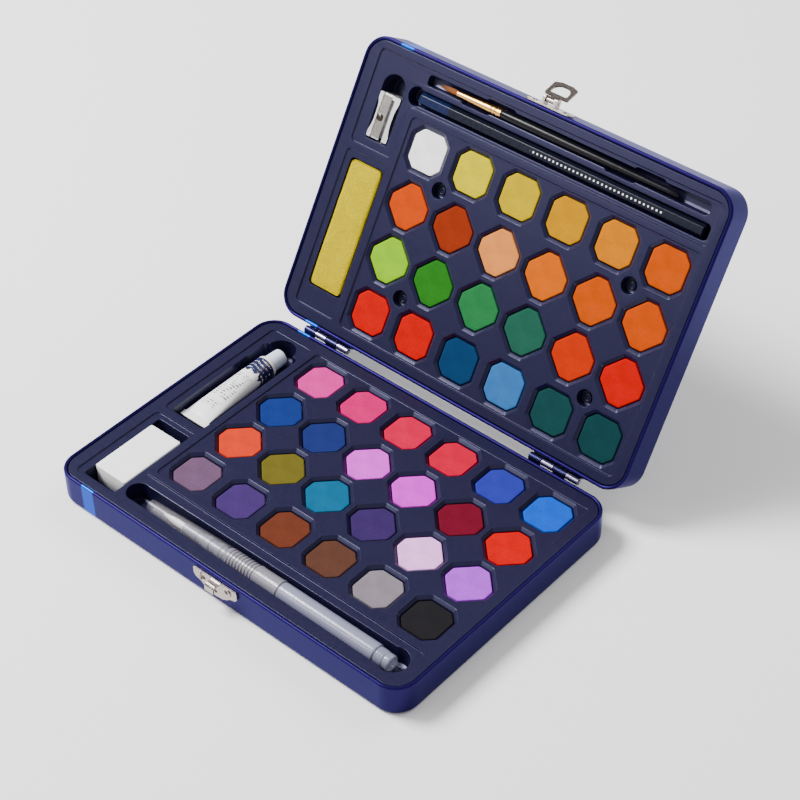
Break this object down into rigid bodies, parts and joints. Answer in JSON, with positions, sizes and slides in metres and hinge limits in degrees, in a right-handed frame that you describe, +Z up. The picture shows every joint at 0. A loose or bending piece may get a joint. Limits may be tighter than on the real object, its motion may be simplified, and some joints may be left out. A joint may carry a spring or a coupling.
{
  "type": "watercolor pan set",
  "caption": "Hinged flat metal tin with plastic trays of octagonal watercolour cakes, a latch, and wells holding brush, water brush, pencil, tube, eraser, sponge and sharpener.",
  "frame": {"origin": "centre of the base tin's flat underside", "axes": "+X along the hinge, +Y from the catch towards the hinges, +Z up out of the open base"},
  "size_m": [0.235, 0.274, 0.1631],
  "materials": {
    "base_paint_row_1_cake": "chalky pressed watercolour cakes on a carrier strip",
    "base_paint_row_2_cake": "chalky pressed watercolour cakes on a carrier strip",
    "base_paint_row_3_cake": "chalky pressed watercolour cakes on a carrier strip",
    "base_paint_row_4_cake": "chalky pressed watercolour cakes on a carrier strip",
    "base_shell_paint": "deep blue-violet enamel on tinplate",
    "base_tray_plastic": "moulded matte navy plastic",
    "eraser_vinyl": "white vinyl",
    "latch_catch_plate_steel": "bright nickel plated steel",
    "latch_hasp_steel": "bright nickel plated steel",
    "latch_lid_plate_steel": "bright nickel plated steel",
    "latch_pin_steel": "plain steel wire",
    "left_hinge_base_leaf_metal": "dark navy plated steel",
    "left_hinge_lid_leaf_metal": "dark navy plated steel",
    "left_hinge_pin_steel": "plain steel wire",
    "lid_paint_row_1_cake": "chalky pressed watercolour cakes on a carrier strip",
    "lid_paint_row_2_cake": "chalky pressed watercolour cakes on a carrier strip",
    "lid_paint_row_3_cake": "chalky pressed watercolour cakes on a carrier strip",
    "lid_paint_row_4_cake": "chalky pressed watercolour cakes on a carrier strip",
    "lid_shell_paint": "deep blue-violet enamel on tinplate",
    "lid_tray_plastic": "moulded matte navy plastic",
    "lid_tray_rivet_1_plastic": "moulded navy plastic",
    "lid_tray_rivet_2_plastic": "moulded navy plastic",
    "lid_tray_rivet_3_plastic": "moulded navy plastic",
    "lid_tray_rivet_4_plastic": "moulded navy plastic",
    "paint_brush_ferrule_finish": "pale gold crimped metal",
    "paint_brush_handle_finish": "glossy black lacquer",
    "paint_brush_tuft_finish": "soft bristle",
    "paint_tube_body_foil": "soft white printed tube",
    "paint_tube_cap_plastic": "translucent moulded plastic",
    "pencil_barrel_lacquer": "near black and navy lacquer",
    "pencil_lead_graphite": "graphite",
    "right_hinge_base_leaf_metal": "dark navy plated steel",
    "right_hinge_lid_leaf_metal": "dark navy plated steel",
    "right_hinge_pin_steel": "plain steel wire",
    "sharpener_blade_steel": "ground steel",
    "sharpener_body_metal": "satin milled metal",
    "sharpener_screw_steel": "ground steel",
    "sponge_foam": "open cell foam",
    "water_brush_cap_plastic": "translucent moulded plastic",
    "water_brush_end_plug_plastic": "translucent moulded plastic",
    "water_brush_grip_plastic": "translucent moulded plastic",
    "water_brush_reservoir_plastic": "translucent moulded plastic",
    "water_brush_tuft_plastic": "soft bristle",
    "water_brush_tuft_holder_plastic": "translucent moulded plastic"
  },
  "bodies": {
    "base": {"base_shell": "base_shell_paint", "base_tray": "base_tray_plastic", "base_paint_row_1": "base_paint_row_1_cake", "base_paint_row_2": "base_paint_row_2_cake", "base_paint_row_3": "base_paint_row_3_cake", "base_paint_row_4": "base_paint_row_4_cake", "left_hinge_base_leaf": "left_hinge_base_leaf_metal", "right_hinge_base_leaf": "right_hinge_base_leaf_metal", "left_hinge_pin": "left_hinge_pin_steel", "right_hinge_pin": "right_hinge_pin_steel", "latch_catch_plate": "latch_catch_plate_steel"},
    "lid": {"lid_shell": "lid_shell_paint", "lid_tray": "lid_tray_plastic", "lid_paint_row_1": "lid_paint_row_1_cake", "lid_paint_row_2": "lid_paint_row_2_cake", "lid_paint_row_3": "lid_paint_row_3_cake", "lid_paint_row_4": "lid_paint_row_4_cake", "lid_tray_rivet_1": "lid_tray_rivet_1_plastic", "lid_tray_rivet_2": "lid_tray_rivet_2_plastic", "lid_tray_rivet_3": "lid_tray_rivet_3_plastic", "lid_tray_rivet_4": "lid_tray_rivet_4_plastic", "left_hinge_lid_leaf": "left_hinge_lid_leaf_metal", "right_hinge_lid_leaf": "right_hinge_lid_leaf_metal", "latch_lid_plate": "latch_lid_plate_steel", "latch_pin": "latch_pin_steel"},
    "hasp": {"latch_hasp": "latch_hasp_steel"},
    "eraser": {"eraser": "eraser_vinyl"},
    "paint_tube": {"paint_tube_body": "paint_tube_body_foil"},
    "tube_cap": {"paint_tube_cap": "paint_tube_cap_plastic"},
    "water_brush": {"water_brush_grip": "water_brush_grip_plastic", "water_brush_tuft_holder": "water_brush_tuft_holder_plastic", "water_brush_tuft": "water_brush_tuft_plastic", "water_brush_reservoir": "water_brush_reservoir_plastic", "water_brush_end_plug": "water_brush_end_plug_plastic"},
    "water_brush_cap": {"water_brush_cap": "water_brush_cap_plastic"},
    "sponge": {"sponge": "sponge_foam"},
    "sharpener": {"sharpener_body": "sharpener_body_metal", "sharpener_blade": "sharpener_blade_steel", "sharpener_screw": "sharpener_screw_steel"},
    "paint_brush": {"paint_brush_tuft": "paint_brush_tuft_finish", "paint_brush_ferrule": "paint_brush_ferrule_finish", "paint_brush_handle": "paint_brush_handle_finish"},
    "pencil": {"pencil_barrel": "pencil_barrel_lacquer", "pencil_lead": "pencil_lead_graphite"}
  },
  "joints": [
    {"name": "lid_hinge", "type": "hinge", "parent": "base", "child": "lid", "pos_m": [0, 0.0834, 0.0184], "axis": [1, 0, 0], "range_deg": [0, 121.5]},
    {"name": "hasp_swing", "type": "hinge", "parent": "lid", "child": "hasp", "pos_m": [0, 0.17372, 0.16044], "axis": [1, 0, 0], "range_deg": [0, 139]},
    {"name": "eraser_lift", "type": "slide", "parent": "base", "child": "eraser", "axis": [0, 0, -1], "range_m": [-0.1, 0]},
    {"name": "tube_lift", "type": "slide", "parent": "base", "child": "paint_tube", "axis": [0, 0, -1], "range_m": [-0.1, 0]},
    {"name": "tube_cap_turn", "type": "hinge", "parent": "paint_tube", "child": "tube_cap", "pos_m": [-0.0942, 0.059, 0.0113], "axis": [0, 1, 0], "continuous": true},
    {"name": "water_brush_lift", "type": "slide", "parent": "base", "child": "water_brush", "axis": [0, 0, -1], "range_m": [-0.1, 0]},
    {"name": "water_brush_cap_pull", "type": "slide", "parent": "water_brush", "child": "water_brush_cap", "axis": [1, 0, 0], "range_m": [-0.012, 0]},
    {"name": "sponge_lift", "type": "slide", "parent": "lid", "child": "sponge", "axis": [0, 0.8526, -0.5225], "range_m": [-0.17, 0]},
    {"name": "sharpener_lift", "type": "slide", "parent": "lid", "child": "sharpener", "axis": [0, 0.8526, -0.5225], "range_m": [-0.11, 0]},
    {"name": "brush_lift", "type": "slide", "parent": "lid", "child": "paint_brush", "axis": [0, 0.8526, -0.5225], "range_m": [-0.11, 0]},
    {"name": "pencil_lift", "type": "slide", "parent": "lid", "child": "pencil", "axis": [0, 0.8526, -0.5225], "range_m": [-0.11, 0]}
  ]
}
